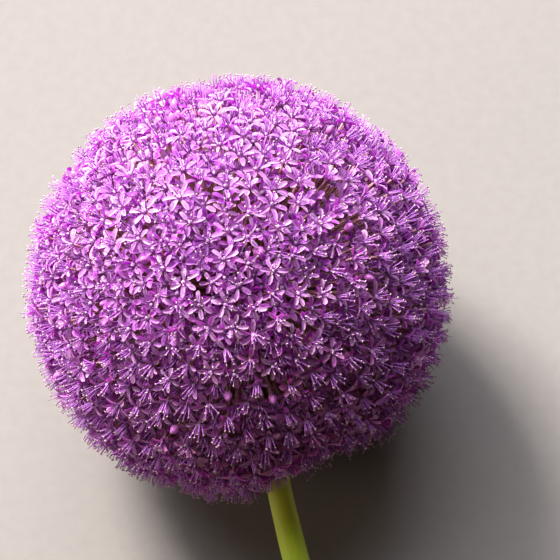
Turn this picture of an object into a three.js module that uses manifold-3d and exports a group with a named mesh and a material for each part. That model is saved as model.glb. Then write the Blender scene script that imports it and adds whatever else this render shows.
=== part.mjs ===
// An allium flower head, cut with a short length of its stalk and laid on a surface.
// Six-pointed florets stand out all round on thin stalks and make a globe. They are larger than
// life and far fewer than the real flower's two thousand or more, and cover the globe as those do.
// The globe lies on its own florets, pressed flat where they meet the surface, and the cut foot
// of the stalk is the other point that it lies on.
// Units are millimetres and +Z is up. The surface is the plane z = 0, the globe's middle is
// straight above the origin, and the stalk runs towards -Y.
import * as THREE from "three";
import { mergeVertices } from "three/addons/utils/BufferGeometryUtils.js";
import Module from "manifold-3d";

const wasm = await Module();
wasm.setup();

// Driving dimensions
const HEAD_REACH = 72; // from the globe's middle to the furthest anthers
const HEAD_HEIGHT = 65.6; // the middle's height, lower than the reach because the underside is pressed flat
const FLORET_PLANE = 66; // from the middle to the florets' faces
const FLORET_COUNT = 127;
const BUD_COUNT = 5;
const TEPAL_LENGTH = 12.6;
const TEPAL_WIDTH = 7;
const STALK_LENGTH = 152; // from the middle of the globe to the cut foot
const STALK_TOP_RADIUS = 3.1; // the taper's size if it ran on to the globe's middle
const STALK_FOOT_RADIUS = 5.3;
const STALK_BEND = 6; // how far the bent part carries the foot to one side
const BEND_START = 0.35; // share of the stalk's length above the bent part
const RECEPTACLE_RADIUS = 7; // the knob at the stalk's top that every flower stalk grows from
const CORE_RADIUS = 60; // the mass of flower stalks and of florets' backs that the florets stand out of
const CORE_RELIEF = 2.6;
const CLEARANCE = 0.3; // left round the stalk in the mass of flower stalks
const SEED = 20417;

const TURN = Math.PI * 2;
const UP = new THREE.Vector3(0, 0, 1);
const MIDDLE = new THREE.Vector3(0, 0, HEAD_HEIGHT);

// The stalk slopes down from the globe's middle until the lower rim of its foot meets the surface.
const FOOT_SINK = 0.3; // the rim is trimmed by this much, to a small flat
const SLOPE =
  Math.asin((HEAD_HEIGHT + FOOT_SINK) / Math.hypot(STALK_LENGTH, STALK_FOOT_RADIUS)) -
  Math.atan2(STALK_FOOT_RADIUS, STALK_LENGTH);
const ALONG_STALK = new THREE.Vector3(0, -Math.cos(SLOPE), -Math.sin(SLOPE));

// A small seeded generator, so that each build gives the same flower
let state = SEED;
function random() {
  state = (state + 0x6d2b79f5) | 0;
  let t = Math.imul(state ^ (state >>> 15), 1 | state);
  t = (t + Math.imul(t ^ (t >>> 7), 61 | t)) ^ t;
  return ((t ^ (t >>> 14)) >>> 0) / 4294967296;
}

function between(low, high) {
  return low + (high - low) * random();
}

function anyShift(most) {
  return new THREE.Vector3(between(-most, most), between(-most, most), between(-most, most));
}

// A closed surface of three.js as a solid that can be joined and cut, and back again
const MERGE_DISTANCE = 1e-4;
function solidOf(geometry) {
  const bare = geometry.clone();
  bare.deleteAttribute("normal");
  bare.deleteAttribute("uv");
  const merged = mergeVertices(bare, MERGE_DISTANCE);
  return new wasm.Manifold(
    new wasm.Mesh({
      numProp: 3,
      vertProperties: merged.attributes.position.array,
      triVerts: new Uint32Array(merged.index.array),
    }),
  );
}

function joined(solids) {
  while (solids.length > 1) {
    const pairs = [];
    for (let i = 0; i + 1 < solids.length; i += 2) pairs.push(solids[i].add(solids[i + 1]));
    if (solids.length % 2) pairs.push(solids[solids.length - 1]);
    solids = pairs;
  }
  return solids[0];
}

function geometryOf(solid) {
  const mesh = solid.getMesh();
  const points = new Float32Array(mesh.numVert * 3);
  for (let i = 0; i < mesh.numVert; i++) {
    points.set(mesh.vertProperties.subarray(i * mesh.numProp, i * mesh.numProp + 3), i * 3);
  }
  const geometry = new THREE.BufferGeometry();
  geometry.setAttribute("position", new THREE.BufferAttribute(points, 3));
  geometry.setIndex(new THREE.BufferAttribute(mesh.triVerts, 1));
  geometry.computeVertexNormals();
  return geometry;
}

// What lies below the surface is cut off both pieces.
const GROUND_SIZE = 500;
const ground = solidOf(
  new THREE.BoxGeometry(GROUND_SIZE, GROUND_SIZE, GROUND_SIZE).translate(0, 0, -GROUND_SIZE / 2),
);

// Where the florets stand: points spread over a sphere that push each other apart until they are
// about evenly spaced, as crowded florets do. Two places are held: one floret faces straight down,
// and the stalk keeps its own place clear of florets.
const STALK_PUSH = 1.25; // times as strong as a floret's
const STALK_PLACE = 1; // its number among the places
const START_JITTER = 0.12;
const PUSH_REACH = 2.2; // spacings
const PUSH_FALL = 2.2; // how fast a push falls with the distance
const FIRST_STEP = 0.25; // spacings
const ROUNDS = 90;
function spreadDirections(count) {
  const places = [UP.clone().negate(), ALONG_STALK.clone()];
  const held = places.length;
  const golden = Math.PI * (3 - Math.sqrt(5)); // turns each place past the last on a spiral
  for (let i = 0; places.length < count + 1; i++) {
    const z = 1 - (2 * i + 1) / count;
    const flat = Math.sqrt(Math.max(0, 1 - z * z));
    const place = new THREE.Vector3(flat * Math.cos(golden * i), flat * Math.sin(golden * i), z);
    places.push(place.add(anyShift(START_JITTER)).normalize());
  }
  const spacing = Math.sqrt((2 * TURN) / count);
  for (let round = 0; round < ROUNDS; round++) {
    const step = FIRST_STEP * spacing * (1 - round / ROUNDS);
    const pushes = places.map((place, i) => {
      const push = new THREE.Vector3();
      places.forEach((other, j) => {
        if (i === j) return;
        const apart = place.clone().sub(other);
        const distance = apart.length() / spacing;
        if (distance > PUSH_REACH) return;
        const strength = j === STALK_PLACE ? STALK_PUSH : 1;
        push.addScaledVector(apart.normalize(), strength * Math.exp(-PUSH_FALL * distance ** 2));
      });
      return push;
    });
    places.forEach((place, i) => {
      if (i >= held) place.addScaledVector(pushes[i], step).normalize();
    });
  }
  return places.filter((place, i) => i !== STALK_PLACE);
}

// One open floret with its stalk, standing along +Z with its face at the origin.
// Each tepal is an ellipse with a pointed end, hollow above and keeled below. Fine tapering needles
// stand in the throat: three stamens that lean outwards, and the upright style of the ovary.
const TEPALS = 6;
const STAMENS = 3;
const THROAT = 1.35; // where neighbouring tepals part, from the floret's axis
const WIDEST = 0.56; // the share of a tepal's length at its widest
const SIDE_LIFT = 0.35; // how far its edges stand above its middle line there
const DEEPEST = 0.48; // the share of its length where its keel is deepest
const KEEL = 0.95; // how far the keel lies below the middle line
const STALK_CORNERS = 3;
const STALK_JOINT_RADIUS = 0.85; // the flower stalk's size where it meets the floret
const STALK_JOINT_DEPTH = 1.6;
const STALK_ROOT = 14; // the stalk runs to a point this far from the middle, inside the core
const STAMEN_SPREAD = 4.8; // from the floret's axis to its anthers
const STYLE_SHARE = 0.6; // the style's height as a share of the stamens'

function ringPoint(radius, angle, z) {
  return [radius * Math.cos(angle), radius * Math.sin(angle), z];
}

function floretSolid({ plane, length, width, cup, reach }) {
  const points = [];
  const faces = [];
  const add = (point) => points.push(point) - 1;
  const sixth = TURN / TEPALS;
  const throat = [];
  for (let k = 0; k < TEPALS; k++) throat.push(add(ringPoint(THROAT, (k + 0.5) * sixth, 0)));
  const style = add([0, 0, STYLE_SHARE * reach]);
  const joint = [];
  for (let j = 0; j < STALK_CORNERS; j++) {
    joint.push(add(ringPoint(STALK_JOINT_RADIUS, (2 * j + 0.5) * sixth, -STALK_JOINT_DEPTH)));
  }
  const root = add([0, 0, STALK_ROOT - plane]);

  const keels = [];
  for (let k = 0; k < TEPALS; k++) {
    const before = throat[(k + TEPALS - 1) % TEPALS];
    const after = throat[k];
    const angle = k * sixth;
    const turnOut = Math.atan2(width / 2, WIDEST * length);
    const sideReach = Math.hypot(WIDEST * length, width / 2);
    const sideHeight = WIDEST * cup + SIDE_LIFT;
    const right = add(ringPoint(sideReach, angle - turnOut, sideHeight));
    const left = add(ringPoint(sideReach, angle + turnOut, sideHeight));
    const tip = add(ringPoint(length, angle, cup));
    const keel = add(ringPoint(DEEPEST * length, angle, DEEPEST * cup - KEEL));
    faces.push([before, right, tip], [before, tip, after], [after, tip, left]);
    faces.push([left, tip, keel], [tip, right, keel], [after, left, keel], [right, before, keel]);
    keels.push(keel);

    if (k % (TEPALS / STAMENS) === 0) {
      const spread = STAMEN_SPREAD * between(0.8, 1.3);
      const anther = add(ringPoint(spread, angle + between(-0.3, 0.3), reach));
      faces.push([before, after, anther], [after, style, anther], [style, before, anther]);
    } else {
      faces.push([before, after, style]);
    }
  }

  // Below, the keels gather to the three corners of the stalk, which narrows to its root.
  for (let j = 0; j < STALK_CORNERS; j++) {
    const here = joint[j];
    const next = joint[(j + 1) % STALK_CORNERS];
    const first = throat[(2 * j + TEPALS - 1) % TEPALS];
    const middle = throat[2 * j];
    const last = throat[2 * j + 1];
    faces.push([first, here, keels[2 * j]], [keels[2 * j], here, middle]);
    faces.push([middle, here, keels[2 * j + 1]], [keels[2 * j + 1], here, last]);
    faces.push([last, here, next], [here, root, next]);
  }

  const geometry = new THREE.BufferGeometry();
  geometry.setAttribute("position", new THREE.Float32BufferAttribute(points.flat(), 3));
  geometry.setIndex(faces.flat());
  return geometry;
}

// One closed bud on its stalk: a plump pointed egg turned on a lathe, with its base at the origin
const BUD_LENGTH = 8;
const BUD_RADIUS = 2.75;
const BUD_PLANE = 64; // from the middle to the buds' bases, lower than the open florets
function budSolid() {
  const profile = [
    [0, STALK_ROOT - BUD_PLANE],
    [0.7, -0.2 * BUD_LENGTH],
    [0.84 * BUD_RADIUS, 0.1 * BUD_LENGTH],
    [BUD_RADIUS, 0.4 * BUD_LENGTH],
    [0.6 * BUD_RADIUS, 0.8 * BUD_LENGTH],
    [0, BUD_LENGTH],
  ].map(([radius, height]) => new THREE.Vector2(radius, height));
  return new THREE.LatheGeometry(profile, TEPALS).rotateX(Math.PI / 2);
}

// Where a piece made along +Z stands in the globe
function standing({ direction, lean, plane }, spin) {
  const turn = new THREE.Quaternion()
    .setFromUnitVectors(UP, direction.clone().add(lean).normalize())
    .multiply(new THREE.Quaternion().setFromAxisAngle(UP, spin));
  const place = MIDDLE.clone().addScaledVector(direction, plane);
  return new THREE.Matrix4().compose(place, turn, new THREE.Vector3(1, 1, 1));
}

// Points along the middles of a floret's tepals, to measure how closely two florets mesh
function tepalPoints(floret, spin) {
  const matrix = standing(floret, spin);
  const points = [];
  for (let k = 0; k < TEPALS; k++) {
    for (const share of [0.45, 0.75, 1]) {
      const [x, y] = ringPoint(share * floret.length, (k * TURN) / TEPALS, 0);
      points.push(new THREE.Vector3(x, y, share * floret.cup).applyMatrix4(matrix));
    }
  }
  return points;
}

// Each floret is turned until its tepals fit between those of the florets placed before it.
const TURNS_TRIED = 10;
const NEIGHBOUR_DISTANCE = 0.5; // between directions
const MESH_DISTANCE = 2.6;
function spinBetweenNeighbours(floret, placed) {
  const near = placed
    .filter((other) => other.direction.distanceTo(floret.direction) < NEIGHBOUR_DISTANCE)
    .flatMap((other) => other.points);
  const start = random();
  let best = null;
  for (let i = 0; i < TURNS_TRIED; i++) {
    const spin = (((i + start) / TURNS_TRIED) * TURN) / TEPALS;
    const points = tepalPoints(floret, spin);
    let crowding = 0;
    for (const point of points) {
      for (const other of near) {
        crowding += Math.exp(-point.distanceToSquared(other) / MESH_DISTANCE ** 2);
      }
    }
    if (!best || crowding < best.crowding) best = { crowding, spin, points };
  }
  return best;
}

// The first floret faces straight down, level, for the flower to rest on. The others have their own
// lean, size and cup, and stand at three levels, which lets a tepal pass over a neighbour's.
const LEAN = 0.09;
const LEVEL_STEP = 1.3;
const MOST_CUP = 2.4; // how far the tips stand above the throat
function florets() {
  const placed = [];
  return spreadDirections(FLORET_COUNT).map((direction, i) => {
    const facesDown = i === 0;
    const level = facesDown ? 0 : Math.floor(random() * 3) - 1;
    const floret = {
      direction,
      plane: FLORET_PLANE + level * LEVEL_STEP,
      lean: anyShift(facesDown ? 0 : LEAN),
      length: TEPAL_LENGTH * between(0.94, 1.06),
      width: TEPAL_WIDTH * between(0.94, 1.06),
      cup: between(0, MOST_CUP),
    };
    floret.reach = HEAD_REACH - floret.plane;
    const { spin, points } = spinBetweenNeighbours(floret, placed);
    placed.push({ direction, points });
    return floretSolid(floret).applyMatrix4(standing(floret, spin));
  });
}

// Buds that are still closed stand anywhere, in the gaps between the tepals.
function buds() {
  return Array.from({ length: BUD_COUNT }, () => {
    const direction = anyShift(1).normalize();
    const place = standing({ direction, lean: anyShift(LEAN), plane: BUD_PLANE }, 0);
    return budSolid().applyMatrix4(place);
  });
}

// The stalk, turned on a lathe from the receptacle to its foot, then bent a little to one side.
// Its local +Z runs from the globe's middle to the foot. spare widens it, to cut its own hole.
const STALK_SIDES = 20;
const STALK_RINGS = 12;
const KNOB_RINGS = 5;
const KNOB_TURN = 0.72 * Math.PI; // how far round the knob's profile runs before the neck
function stalkGeometry(spare) {
  const profile = [];
  const knob = RECEPTACLE_RADIUS + spare;
  for (let i = 0; i <= KNOB_RINGS; i++) {
    const angle = (i / KNOB_RINGS) * KNOB_TURN;
    profile.push(new THREE.Vector2(knob * Math.sin(angle), -knob * Math.cos(angle)));
  }
  const neck = RECEPTACLE_RADIUS * 1.5;
  for (let i = 0; i <= STALK_RINGS; i++) {
    const along = i / STALK_RINGS;
    const radius = STALK_TOP_RADIUS + (STALK_FOOT_RADIUS - STALK_TOP_RADIUS) * along + spare;
    profile.push(new THREE.Vector2(radius, neck + (STALK_LENGTH - neck) * along));
  }
  profile.push(new THREE.Vector2(0, STALK_LENGTH));
  const geometry = new THREE.LatheGeometry(profile, STALK_SIDES).rotateX(Math.PI / 2);
  const position = geometry.attributes.position;
  for (let i = 0; i < position.count; i++) {
    const along = Math.max(position.getZ(i) / STALK_LENGTH - BEND_START, 0) / (1 - BEND_START);
    position.setX(i, position.getX(i) + STALK_BEND * along ** 2);
  }
  const turn = new THREE.Quaternion().setFromUnitVectors(UP, ALONG_STALK);
  return geometry.applyQuaternion(turn).translate(MIDDLE.x, MIDDLE.y, MIDDLE.z);
}

// The crowded inner part of the globe, uneven all over
const CORE_DETAIL = 3;
function coreSolid() {
  const sphere = new THREE.IcosahedronGeometry(CORE_RADIUS, CORE_DETAIL);
  sphere.deleteAttribute("normal");
  sphere.deleteAttribute("uv");
  const geometry = mergeVertices(sphere, MERGE_DISTANCE);
  const position = geometry.attributes.position;
  const point = new THREE.Vector3();
  for (let i = 0; i < position.count; i++) {
    const level = CORE_RADIUS + between(-CORE_RELIEF, CORE_RELIEF);
    point.fromBufferAttribute(position, i).setLength(level).add(MIDDLE);
    position.setXYZ(i, point.x, point.y, point.z);
  }
  return solidOf(geometry);
}

// The globe, with the stalk's own hole into it
const headSolid = joined([coreSolid(), ...florets().map(solidOf), ...buds().map(solidOf)])
  .subtract(solidOf(stalkGeometry(CLEARANCE)))
  .subtract(ground);
const stalkSolid = solidOf(stalkGeometry(0)).subtract(ground);

function piece(name, solid, colour, roughness) {
  const material = new THREE.MeshStandardMaterial({ color: colour, roughness, metalness: 0 });
  const mesh = new THREE.Mesh(geometryOf(solid), material);
  mesh.name = name;
  return mesh;
}

const flower = new THREE.Group();
flower.add(piece("flower_head", headSolid, "#a45bab", 0.6));
flower.add(piece("scape", stalkSolid, "#7d8f3c", 0.5));
export default flower;
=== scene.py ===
# %% [markdown]
# A cut flower head of an ornamental allium, lying on a pale surface.
# On the living plant, over two thousand six-pointed florets stand on thin flower stalks that all
# grow from one knob at the top of a smooth green stem. Together they make a lilac globe.
# The CAD model keeps the globe's form with fewer and larger florets. Here the florets have their
# life size, and each open one has six tepals, six stamens and an ovary of its own.

# %% Load the frame
import math

import bpy
import numpy as np
from mathutils import Matrix, Vector


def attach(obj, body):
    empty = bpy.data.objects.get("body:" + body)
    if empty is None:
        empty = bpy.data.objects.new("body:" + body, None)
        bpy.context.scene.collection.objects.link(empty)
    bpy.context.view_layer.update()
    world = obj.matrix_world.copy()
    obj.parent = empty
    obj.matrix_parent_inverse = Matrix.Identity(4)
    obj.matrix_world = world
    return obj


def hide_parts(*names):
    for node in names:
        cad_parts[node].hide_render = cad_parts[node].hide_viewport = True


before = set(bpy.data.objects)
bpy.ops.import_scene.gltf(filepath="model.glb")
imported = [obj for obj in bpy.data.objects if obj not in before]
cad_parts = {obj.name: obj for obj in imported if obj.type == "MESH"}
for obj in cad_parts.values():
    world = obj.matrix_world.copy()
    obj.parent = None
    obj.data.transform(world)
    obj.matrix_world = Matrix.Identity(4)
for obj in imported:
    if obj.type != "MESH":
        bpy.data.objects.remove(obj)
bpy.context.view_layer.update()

# %% [markdown]
# The driving dimensions are the CAD model's own, in metres. The globe's middle is straight above
# the origin. The stem slopes down from it to the surface at z = 0, towards -Y. Its slope is worked
# out again here, from the stem's length and the height that the stem has to come down.

# %% Driving dimensions
MM = 0.001
HEAD_REACH = 72 * MM
HEAD_HEIGHT = 65.6 * MM
STEM_LENGTH = 152 * MM
STEM_FOOT_RADIUS = 5.3 * MM
FOOT_SINK = 0.3 * MM
TURN = 2 * math.pi

MIDDLE = np.array([0.0, 0.0, HEAD_HEIGHT])
slope = math.asin((HEAD_HEIGHT + FOOT_SINK) / math.hypot(STEM_LENGTH, STEM_FOOT_RADIUS))
slope -= math.atan2(STEM_FOOT_RADIUS, STEM_LENGTH)
ALONG_STEM = np.array([0.0, -math.cos(slope), -math.sin(slope)])
print("The stem slopes down by", round(math.degrees(slope), 1), "degrees")

# %% [markdown]
# The photograph was taken from the flower's side while it stood upright, so this camera looks down
# on the lying flower, square to its stem, and is rolled until the stem leans as it does there. A
# long lens from over a metre away keeps the perspective weak. The picture is 560 pixels square, and
# two measured values, the pixel of the globe's middle and the globe's width, give aim and scale.

# %% Camera
PICTURE_PIXELS = 560
MIDDLE_PIXEL = (238, 289)
GLOBE_PIXELS = 433
STEM_LEAN = math.radians(11.5)
CAMERA_DISTANCE = 1.1
SENSOR = 36.0

pixel = 2 * HEAD_REACH / GLOBE_PIXELS
level_right = np.array([1.0, 0.0, 0.0])
picture_up = -math.cos(STEM_LEAN) * ALONG_STEM + math.sin(STEM_LEAN) * level_right
picture_right = math.cos(STEM_LEAN) * level_right + math.sin(STEM_LEAN) * ALONG_STEM
picture_back = np.cross(picture_right, picture_up)

half = PICTURE_PIXELS / 2
aim = MIDDLE + (half - MIDDLE_PIXEL[0]) * pixel * picture_right
aim = aim + (MIDDLE_PIXEL[1] - half) * pixel * picture_up
camera = bpy.data.objects.new("camera", bpy.data.cameras.new("camera"))
bpy.context.scene.collection.objects.link(camera)
bpy.context.scene.camera = camera
camera.data.sensor_width = SENSOR
camera.data.lens = SENSOR * CAMERA_DISTANCE / (PICTURE_PIXELS * pixel)
axes = Matrix([picture_right, picture_up, picture_back]).transposed()
camera.matrix_world = Matrix.Translation(aim + CAMERA_DISTANCE * picture_back) @ axes.to_4x4()
print("Lens:", round(camera.data.lens), "mm. One pixel:", round(pixel / MM, 3), "mm")

# %% [markdown]
# Colours are given as the sRGB hex values that a picture editor shows. Blender's shaders work in
# linear light, so one function converts them, and the Standard view turns them back in the picture
# without a film look of its own. A second small function adds any node with its settings, and links
# or fills its inputs, which keeps each material readable as a recipe.

# %% Colour and node helpers
def linear(hex_colour):
    """An sRGB hex colour as linear red, green, blue and alpha."""
    shares = [int(hex_colour[i : i + 2], 16) / 255 for i in (1, 3, 5)]
    return [s / 12.92 if s <= 0.04045 else ((s + 0.055) / 1.055) ** 2.4 for s in shares] + [1.0]


def add(tree, kind, inputs, **settings):
    """Adds a node, sets its settings, and links each input that is given a socket."""
    made = tree.nodes.new(kind)
    for name, value in settings.items():
        setattr(made, name, value)
    for name, value in inputs.items():
        if isinstance(value, bpy.types.NodeSocket):
            tree.links.new(value, made.inputs[name])
        else:
            made.inputs[name].default_value = value
    return made


def new_material(name):
    """An empty material with its node tree and its output's surface socket."""
    material = bpy.data.materials.new(name)
    material.use_nodes = True
    tree = material.node_tree
    tree.nodes.clear()
    print("Material:", name)
    return material, tree, tree.nodes.new("ShaderNodeOutputMaterial").inputs["Surface"]


MIX_FIRST, MIX_SECOND, MIX_COLOUR = 6, 7, 2  # a colour Mix node's sockets, by their places
bpy.context.scene.view_settings.view_transform = "Standard"
print("sRGB #808080 is", round(linear("#808080")[0], 3), "in linear light")

# %% [markdown]
# Every small part of a floret is a closed tube of rings that ends in a point at both ends. A tepal
# is a flat wide tube, a stamen a fine one, an ovary a plump one. So one piece of code can build
# them all. First come the triangles of one such tube, with their corners on a unit square, which
# later gives each copy its own place in the UV map.

# %% The triangles of one closed tube
def tube_triangles(rings, sides):
    """The point numbers of a tube's triangles, and the places of their corners on a square."""
    last_ring = rings - 1
    end_point = 1 + (rings - 2) * sides

    def number(ring, side):
        return 0 if ring == 0 else min(1 + (ring - 1) * sides + side % sides, end_point)

    def place(ring, side, middle):
        across = middle if ring in (0, last_ring) else side
        return (across / sides, ring / last_ring)

    numbers, places = [], []
    for ring in range(last_ring):
        for side in range(sides):
            here, beside = (ring, side), (ring, side + 1)
            ahead, over = (ring + 1, side), (ring + 1, side + 1)
            triangles = [(here, beside, over), (here, over, ahead)]
            if ring == 0:
                triangles = triangles[1:]
            if ring + 1 == last_ring:
                triangles = triangles[:1]
            for triangle in triangles:
                numbers.append([number(*corner) for corner in triangle])
                places.append([place(*corner, side + 0.5) for corner in triangle])
    return np.array(numbers), np.array(places)


print("A tube of 6 rings with 6 sides has", len(tube_triangles(6, 6)[0]), "triangles")

# %% [markdown]
# All copies of a part are joined in one mesh. Instances would be lighter, but real meshes can be
# pressed against the surface, and no two florets are alike. The copies come as one array of points,
# which numpy bends and turns much faster than Blender could one by one. Beside its shape each mesh
# carries marks, numbers on its points that its material reads: how far along the part a point is,
# how far from its middle line, and a tint of its own.

# %% Many tubes in one mesh
MAP_MARGIN = 0.06  # left free round each copy's cell of the UV map, in shares of a cell


def collapsed(grid):
    """A grid of copies x rings x sides without the repeats in its first and last rings."""
    body = grid[:, 1:-1].reshape(grid.shape[0], -1, *grid.shape[3:])
    return np.concatenate([grid[:, 0, :1], body, grid[:, -1, :1]], axis=1)


def capped(rings, start, end):
    """Rings, copies x rings x sides x 3, closed by a point at each end, copies x 3."""
    shape = (rings.shape[0], 1, rings.shape[2], 3)
    first = np.broadcast_to(start[:, None, None], shape)
    last = np.broadcast_to(end[:, None, None], shape)
    return np.concatenate([first, rings, last], axis=1)


def tubes(name, grid, material, marks):
    """One mesh of closed tubes, from a grid of copies x rings x sides x 3 and marks over it."""
    copies, rings, sides = grid.shape[:3]
    points = collapsed(grid)
    points[..., 2] = np.maximum(points[..., 2], 0)  # nothing reaches below the surface
    numbers, places = tube_triangles(rings, sides)
    triangles = numbers + points.shape[1] * np.arange(copies)[:, None, None]
    mesh = bpy.data.meshes.new(name)
    mesh.from_pydata(points.reshape(-1, 3).tolist(), [], triangles.reshape(-1, 3).tolist(), False)

    for label, values in marks.items():
        spread = collapsed(np.broadcast_to(values, grid.shape[:3])).astype(np.float32)
        mesh.attributes.new(label, "FLOAT", "POINT").data.foreach_set("value", spread.ravel())

    columns = math.ceil(math.sqrt(copies))
    cell = np.stack([np.arange(copies) % columns, np.arange(copies) // columns], axis=1)
    uv = (cell[:, None, None] + MAP_MARGIN + (1 - 2 * MAP_MARGIN) * places) / columns
    mesh.uv_layers.new(name="OFBake").data.foreach_set("uv", uv.astype(np.float32).ravel())

    mesh.materials.append(material)
    piece = bpy.data.objects.new(name, mesh)
    bpy.context.scene.collection.objects.link(piece)
    print(name, "has", copies, "copies and", copies * len(numbers), "triangles")
    return piece


def stands_for(piece, node):
    """Puts a piece on the root body and hides the CAD node that it stands for."""
    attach(piece, "root")
    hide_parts(node)


print("A tube of 6 rings with 6 sides has", collapsed(np.zeros((1, 6, 6, 3))).shape[1], "points")

# %% [markdown]
# A crowded flower head spaces its florets almost evenly, because each pushes its neighbours aside.
# The same is done here: points on a sphere start on a spiral with some jitter, and then push each
# other apart for a number of rounds. The florets that opened first stand at the top level and are
# spread first. Those that open later stand lower, in the gaps, so they are spread after them and
# are pushed by them too. The stem pushes hardest and keeps its own place clear. All random numbers
# come from one seeded generator, so each run gives the same flower.

# %% Where the florets stand
HIGH_FLORETS = 950
LOW_FLORETS = 1620
STEM_PUSH = 3.0  # times a floret's own
HIGH_ON_LOW_PUSH = 0.45
PUSH_FALL = 2.2  # how fast a push fades with distance
START_JITTER = 0.3  # this and the next two are shares of the spacing
FIRST_STEP = 0.25
LEAST_APART = 0.05
ROUNDS = 40
SEED = 41
draw = np.random.default_rng(SEED)


def spread_over_sphere(count, others, strengths):
    """Directions that push each other apart, and are pushed by others that keep their places."""
    steps = np.arange(count)
    height = 1 - (2 * steps + 1) / count
    turn = steps * math.pi * (3 - math.sqrt(5))  # the golden angle from each to the next
    flat = np.sqrt(1 - height**2)
    places = np.stack([flat * np.cos(turn), flat * np.sin(turn), height], axis=1)
    spacing = math.sqrt(2 * TURN / count)
    places += draw.normal(0, START_JITTER * spacing, places.shape)
    strengths = np.concatenate([np.ones(count), strengths])
    for i in range(ROUNDS):
        places /= np.linalg.norm(places, axis=1, keepdims=True)
        apart = (places[:, None] - np.vstack([places, others])[None]) / spacing
        distance = np.maximum(np.linalg.norm(apart, axis=2), LEAST_APART)
        push = strengths * np.exp(-PUSH_FALL * distance**2) / distance
        moves = (apart * push[:, :, None]).sum(axis=1)
        places += FIRST_STEP * spacing * (1 - i / ROUNDS) * moves
    return places / np.linalg.norm(places, axis=1, keepdims=True)


high = spread_over_sphere(HIGH_FLORETS, ALONG_STEM[None], [STEM_PUSH])
held = np.vstack([ALONG_STEM, high])
held_strengths = np.append(STEM_PUSH, np.full(HIGH_FLORETS, HIGH_ON_LOW_PUSH))
low = spread_over_sphere(LOW_FLORETS, held, held_strengths)
directions = np.vstack([high, low])
FLORETS = HIGH_FLORETS + LOW_FLORETS
is_high = np.arange(FLORETS) < HIGH_FLORETS
from_stem = np.degrees(np.arccos(directions @ ALONG_STEM))
print("Nearest floret to the stem:", round(from_stem.min(), 1), "degrees")

# %% [markdown]
# Each floret gets an age. Nearly all are open, a few are half open with their tepals held up like
# a cup, and some are still plump buds. The photograph shows patches where the low ones are still
# small buds, so that the stalks show through. The largest of them are placed as it shows, and
# others lie at random, mostly on the sides that it doesn't show.

# %% Ages and patches
BUD_SHARE = 0.05
HALF_OPEN_SHARE = 0.1
# Each patch: right and up from the middle, in shares of the radius, and its width in degrees.
PATCHES = ((0.43, 0.48, 4.5), (0.24, 0.44, 3.2), (0.55, 0.31, 3.4),
           (-0.59, 0.26, 3.0), (-0.29, 0.24, 2.4), (-0.17, 0.01, 2.4),
           (0.29, -0.17, 4.0), (0.14, -0.52, 3.6), (0.02, -0.48, 3.0))
HIDDEN_PATCHES = 16
HIDDEN_WIDTHS = (2.5, 4.0)  # degrees
HIDDEN_SHIFT = 1.2  # away from the camera, where the random part is about 1
PATCH_AGE = 0.3  # of a high floret's own age

age = draw.random(FLORETS)
patches = []
for right, up, width in PATCHES:
    back = math.sqrt(1 - right**2 - up**2)
    patches.append((right * picture_right + up * picture_up + back * picture_back, width))
hidden_ways = draw.normal(0, 1, (HIDDEN_PATCHES, 3)) - HIDDEN_SHIFT * picture_back
for way in hidden_ways:
    patches.append((way / np.linalg.norm(way), draw.uniform(*HIDDEN_WIDTHS)))

inside = [directions @ way > math.cos(math.radians(width)) for way, width in patches]
in_patch = np.any(inside, axis=0)
patch_low = in_patch & ~is_high
age[in_patch & is_high] *= PATCH_AGE
age[patch_low] = 0
is_bud = age < BUD_SHARE
is_open = ~is_bud
half_open = is_open & (age < BUD_SHARE + HALF_OPEN_SHARE)
print(is_open.sum(), "open florets,", half_open.sum(), "of them half open, and", is_bud.sum(), "buds")

# %% [markdown]
# Each floret also gets a level. The low ones, the buds and those in the patches stand on shorter
# stalks. Round the stem, and more on the picture's right of it, the stalks are shorter too, which
# leaves a dimple. Elsewhere they swell and sink a little, so the globe's outline is uneven. Round the
# stem, a little to the right and more towards the camera, the florets get a brown mark. It is painted
# warm shade on the globe's shaded lower side, over some real withering of the florets there.

# %% Levels, and the painted warm shade near the stem
FLORET_PLANE = 66 * MM
LEVEL_SPREAD = 1.1 * MM
LEAST_LEVEL, HIGHEST_LEVEL = -2.4 * MM, 2 * MM
LOW_LEVELS = (-5 * MM, -1.0 * MM)  # from the plane
BUD_DEPTH = 2.5 * MM
PATCH_DEPTH = 5 * MM
DIMPLE_DEPTH, DIMPLE_WIDTH, DIMPLE_SHIFT = 9 * MM, 20.0, 0.2  # metres, degrees, of the radius
SWELLS, SWELL_HEIGHT, SWELL_WIDTH = 90, 0.9 * MM, 9.0  # width in degrees
# The brown mark near the stem, painted warm shade over some real withering: its width, its strength
# from floret to floret, and its middle.
BROWN_SHADE_WIDTH = 44.0  # degrees
BROWN_SHADE_SHARES = (0.3, 1.0)
# Its middle lies beside the stem's own direction, towards the picture's right and the camera, on the
# shaded lower side.
BROWN_SHADE_RIGHT, BROWN_SHADE_BACK = 0.2, 0.6  # where the oldest are, beside the stem's own direction


def near(way, width):
    """How near each floret is to a direction: 1 in its middle, falling smoothly over some degrees."""
    away = np.degrees(np.arccos(np.clip(directions @ way / np.linalg.norm(way), -1, 1)))
    return np.exp(-((away / width) ** 2))


level = np.maximum(draw.normal(0, LEVEL_SPREAD, FLORETS), LEAST_LEVEL)
level = np.where(is_high, level, draw.uniform(*LOW_LEVELS, FLORETS))
level -= BUD_DEPTH * is_bud + PATCH_DEPTH * patch_low
dimple = ALONG_STEM + DIMPLE_SHIFT * picture_right
level -= DIMPLE_DEPTH * near(dimple, DIMPLE_WIDTH)
for way, height in zip(draw.normal(0, 1, (SWELLS, 3)), draw.normal(0, SWELL_HEIGHT, SWELLS)):
    level += height * near(way, SWELL_WIDTH)
plane = FLORET_PLANE + np.minimum(level, HIGHEST_LEVEL)
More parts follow.
